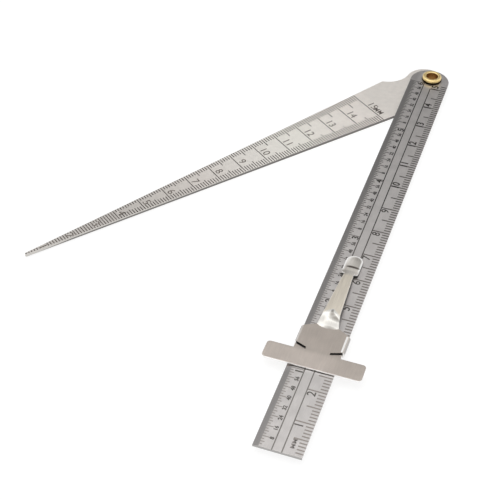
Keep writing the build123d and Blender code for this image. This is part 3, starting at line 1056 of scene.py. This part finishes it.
# Painted highlights make a bright line along the folds' tops, and painted shade keeps their outer walls
# grey
beside_folds = slider_math("COMPARE", along, FOLD_ALONG, FOLD_HALF_LENGTH)
off_right_fold = slider_away(across, RIGHT_FOLD)
right_fold_highlight = slider_ramp(off_right_fold, 1.0, 0.0, RIGHT_FOLD_FULL, RIGHT_FOLD_END)
off_left_fold = slider_away(across, LEFT_FOLD)
left_fold_highlight = slider_ramp(off_left_fold, LEFT_FOLD_SHARE, 0.0, LEFT_FOLD_FULL, LEFT_FOLD_END)
fold_highlight = slider_math("MAXIMUM", right_fold_highlight, left_fold_highlight)
fold_highlight = slider_math("MULTIPLY", fold_highlight, beside_folds)
slider_tone = tint(slider_add, fold_highlight, slider_tone, SLIDER_EDGE_HIGHLIGHT)
sideways = slider_math("ABSOLUTE", facing(slider_add, "X"))
fold_wall_shade = slider_ramp(sideways, 0.0, 1.0, WALL_FACING_START, WALL_FACING_FULL)
fold_wall_shade = slider_math("MULTIPLY", fold_wall_shade, beside_folds)
slider_tone = tint(slider_add, fold_wall_shade, slider_tone, FOLD_WALL_SHADE)

# Painted shade: the slider is painted black in a band along each slit
slit_line = slider_math("SUBTRACT", from_middle, SLIT_FROM_MIDDLE)
slit_line = slider_math("MULTIPLY_ADD", slit_line, SLIT_SLOPE, SLIT_ALONG)
beside_slit = slider_math("COMPARE", from_middle, SLIT_FROM_MIDDLE, SLIT_HALF_LENGTH)
off_slit = slider_away(along, slit_line)
in_slit_shade = slider_ramp(off_slit, 1.0, 0.0, SLIT_SHADE_REACH, SLIT_SHADE_REACH + SLIT_BLUR)
in_slit_shade = slider_math("MULTIPLY", beside_slit, in_slit_shade)
slider_tone = tint(slider_add, in_slit_shade, slider_tone, SLIT_SHADE)
# Painted shade: the groove across the pad is painted dark brown
off_groove = slider_oval(*GROOVE, GROOVE_SQUARENESS)
in_groove_shade = slider_ramp(off_groove, 1.0, 0.0, GROOVE_FULL, GROOVE_END)
slider_tone = tint(slider_add, in_groove_shade, slider_tone, GROOVE_SHADE)
plug(slider_tone, slider_steel.shader.inputs["Base Color"])

# The clip is made whiter and less mirror-like than the plate, most of all where painted highlights
# lie: on its rim, on the lit side of the pad and along the folds
metal = slider_ramp(past_foot, 1.0, CLIP_METAL, *neck_foot)
fold_shine = slider_math("MULTIPLY", fold_highlight, 1 - FOLD_METAL)
rim_shine = slider_math("MULTIPLY", slider_math("MULTIPLY", on_rim_highlight, on_clip), RIM_SHINE)
pad_shine = slider_ramp(pad_slant, PAD_SHINE, 0.0, PAD_SHINE_FULL, PAD_SHINE_END)
pad_shine = slider_math("MULTIPLY", on_pad, pad_shine)
for shine in (fold_shine, rim_shine, pad_shine):
    metal = slider_without(metal, shine)
plug(metal, slider_steel.shader.inputs["Metallic"])
wear("depth_slider", slider_steel.finish)

# The studio: a white sheet for a floor just under the gauge, even white surroundings, one large
# soft lamp above, and a grey card behind that the polished faces reflect.

FLOOR_LEVEL = -2.66 * mm
FLOOR_SIZE = 6.0
FLOOR_WHITE = (0.28, 0.28, 0.28)
FLOOR_LIFT = 0.8
DIFFUSE_LEVEL = 0.72
LAMP_SIZE = 0.55
LAMP_POWER = 1.0
LAMP_PLACE = (-0.12, -0.05, 0.6)
CARD_DISTANCE = 0.7
CARD_LEFT = -0.8
CARD_RIGHT = 0.3
CARD_FOOT = 0.2
CARD_HEIGHT = 1.6
CARD_SHADES = (
    (0.42, 0.13),
    (0.50, 0.13),
    (0.60, 0.19),
    (0.65, 0.48),
    (0.70, 0.82),
    (0.80, 0.88),
    (0.98, 0.80),
    (1.05, 0.60),
    (1.10, 0.12),
    (1.50, 0.05),
)


def new_sheet(name, corners, finish):
    """A flat four-cornered sheet."""
    mesh = bpy.data.meshes.new(name)
    mesh.from_pydata(corners, [], [(0, 1, 2, 3)])
    mesh.materials.append(finish)
    return new_object(name, mesh)


def seen_directly(add):
    """1 where the camera or a mirror looks, and 0 for the light that a surface gives on."""
    ray = add("ShaderNodeLightPath").outputs
    mirrored = arithmetic(add, "MAXIMUM", ray["Is Glossy Ray"], ray["Is Transmission Ray"])
    return arithmetic(add, "MAXIMUM", ray["Is Camera Ray"], mirrored)


floor_white, floor_shader, floor_add = new_finish("floor white")
plug((*FLOOR_WHITE, 1), floor_shader.inputs["Base Color"])
plug(1.0, floor_shader.inputs["Roughness"])
plug(0.0, floor_shader.inputs["Specular IOR Level"])
plug((1, 1, 1, 1), floor_shader.inputs["Emission Color"])
floor_lift = arithmetic(floor_add, "MULTIPLY", seen_directly(floor_add), FLOOR_LIFT)
plug(floor_lift, floor_shader.inputs["Emission Strength"])
half = FLOOR_SIZE / 2
floor_corners = [
    (-half, -half, FLOOR_LEVEL),
    (half, -half, FLOOR_LEVEL),
    (half, half, FLOOR_LEVEL),
    (-half, half, FLOOR_LEVEL),
]
floor = new_sheet("floor", floor_corners, floor_white)

card_grey, card_shader, card_add = new_finish("card grey")
plug((0, 0, 0, 1), card_shader.inputs["Base Color"])
plug(0.0, card_shader.inputs["Specular IOR Level"])
card_stops = [(height, (shade, shade, shade)) for height, shade in CARD_SHADES]
card_shade = tones(card_add, position(card_add)["Z"], CARD_HEIGHT, card_stops)
plug(card_shade, card_shader.inputs["Emission Color"])
plug(1.0, card_shader.inputs["Emission Strength"])
card_corners = [
    (CARD_LEFT, CARD_DISTANCE, CARD_FOOT),
    (CARD_RIGHT, CARD_DISTANCE, CARD_FOOT),
    (CARD_RIGHT, CARD_DISTANCE, CARD_HEIGHT),
    (CARD_LEFT, CARD_DISTANCE, CARD_HEIGHT),
]
card = new_sheet("card", card_corners, card_grey)
card.visible_camera = False
card.visible_diffuse = False
card.visible_shadow = False

surroundings = bpy.data.worlds.new("white surroundings")
surroundings.use_nodes = True
surroundings.node_tree.nodes.clear()
sky_add = adder(surroundings.node_tree)
white = sky_add("ShaderNodeBackground")
plug((1, 1, 1, 1), white.inputs["Color"])
sky_level = spread(sky_add, seen_directly(sky_add), DIFFUSE_LEVEL, 1.0, 0.0, 1.0)
plug(sky_level, white.inputs["Strength"])
plug(white.outputs[0], sky_add("ShaderNodeOutputWorld").inputs["Surface"])
bpy.context.scene.world = surroundings

soft_lamp = bpy.data.lights.new("soft lamp", "AREA")
soft_lamp.shape = "SQUARE"
soft_lamp.size = LAMP_SIZE
soft_lamp.energy = LAMP_POWER
lamp = new_object("soft lamp", soft_lamp)
lamp.location = LAMP_PLACE
lamp.rotation_euler = (-Vector(LAMP_PLACE)).to_track_quat("-Z", "Y").to_euler()

# The camera: a long lens at the photograph's own viewing angle, above the zero end and looking
# down the rule toward the rivet.

CAMERA_PLACE = (46.62 * mm, -319.54 * mm, 223.26 * mm)
CAMERA_RIGHT = Vector((0.9446, 0.32789, 0.01506))
CAMERA_UP = Vector((-0.23496, 0.6434, 0.72858))
LENS = 87.70
SENSOR_WIDTH = 36.0
NEAREST_SEEN = 0.01
FARTHEST_SEEN = 20.0

view = bpy.data.cameras.new("camera")
view.lens = LENS
view.sensor_width = SENSOR_WIDTH
view.clip_start = NEAREST_SEEN
view.clip_end = FARTHEST_SEEN
camera = new_object("camera", view)
turn = Matrix((CAMERA_RIGHT, CAMERA_UP, CAMERA_RIGHT.cross(CAMERA_UP))).transposed()
camera.matrix_world = Matrix.Translation(CAMERA_PLACE) @ turn.to_4x4()
bpy.context.scene.camera = camera
bpy.context.scene.view_settings.view_transform = "Standard"
